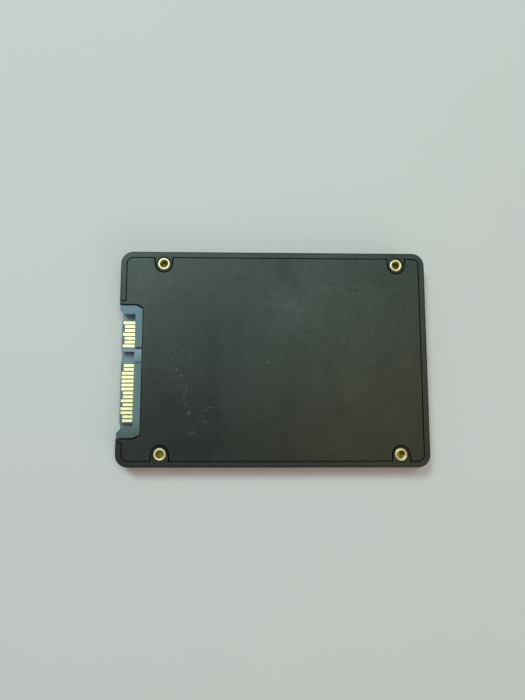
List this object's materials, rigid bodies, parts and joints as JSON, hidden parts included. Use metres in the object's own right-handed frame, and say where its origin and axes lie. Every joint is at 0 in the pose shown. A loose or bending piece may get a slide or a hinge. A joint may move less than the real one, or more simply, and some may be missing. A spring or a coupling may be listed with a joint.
{
  "type": "solid state drive",
  "caption": "Slim black plastic drive case with a flush cover plate, brass threaded inserts and a recessed serial ATA plug; bolts into a drive bay and stores data.",
  "frame": {"origin": "centre of the label face, on the plane that the drive lies on", "axes": "+X from the plug's end to the far end, +Y towards the signal contacts' side, +Z out of the mounting face with the four inserts"},
  "size_m": [0.1, 0.0698, 0.007],
  "materials": {
    "case_plastic": "black moulded plastic with a fine spark texture",
    "cover_plastic": "black moulded plastic with a fine spark texture",
    "plug_plastic": "blue-grey moulded nylon, satin",
    "insert_brass": "turned and knurled, bright",
    "contact_plating": "gold over nickel on the blade, tinned at the foot",
    "lock_metal": "tinned sheet",
    "board_laminate": "glass-fibre laminate under green solder mask",
    "chip_compound": "black moulding compound on a green substrate",
    "crystal_can": "metal lid on a ceramic tray",
    "inductor_core": "pressed iron powder, dark grey",
    "capacitor_body": "fired ceramic with tinned ends",
    "bulk_body": "moulded case with tinned ends",
    "resistor_body": "black film on alumina with tinned ends",
    "screw_steel": "nickel-plated steel",
    "label_paper": "blank printed sticker, satin"
  },
  "bodies": {
    "root": {"case_tray": "case_plastic", "base_cover": "cover_plastic", "label": "label_paper", "plug_housing": "plug_plastic", "board_lock_left": "lock_metal", "board_lock_right": "lock_metal", "circuit_board": "board_laminate", "board_screw_left": "screw_steel", "board_screw_right": "screw_steel", "controller": "chip_compound", "flash_memory_1": "chip_compound", "flash_memory_2": "chip_compound", "flash_memory_3": "chip_compound", "flash_memory_4": "chip_compound", "firmware_memory": "chip_compound", "power_controller": "chip_compound", "clock_crystal": "crystal_can", "power_inductor_1": "inductor_core", "power_inductor_2": "inductor_core", "power_inductor_3": "inductor_core", "bulk_capacitors": "bulk_body", "ceramic_capacitors": "capacitor_body", "resistors": "resistor_body", "base_insert_front_left": "insert_brass", "base_insert_front_right": "insert_brass", "base_insert_rear_left": "insert_brass", "base_insert_rear_right": "insert_brass", "side_insert_front_left": "insert_brass", "side_insert_front_right": "insert_brass", "side_insert_rear_left": "insert_brass", "side_insert_rear_right": "insert_brass", "signal_contact_1": "contact_plating", "signal_contact_2": "contact_plating", "signal_contact_3": "contact_plating", "signal_contact_4": "contact_plating", "signal_contact_5": "contact_plating", "signal_contact_6": "contact_plating", "signal_contact_7": "contact_plating", "power_contact_01": "contact_plating", "power_contact_02": "contact_plating", "power_contact_03": "contact_plating", "power_contact_04": "contact_plating", "power_contact_05": "contact_plating", "power_contact_06": "contact_plating", "power_contact_07": "contact_plating", "power_contact_08": "contact_plating", "power_contact_09": "contact_plating", "power_contact_10": "contact_plating", "power_contact_11": "contact_plating", "power_contact_12": "contact_plating", "power_contact_13": "contact_plating", "power_contact_14": "contact_plating", "power_contact_15": "contact_plating"}
  },
  "joints": []
}
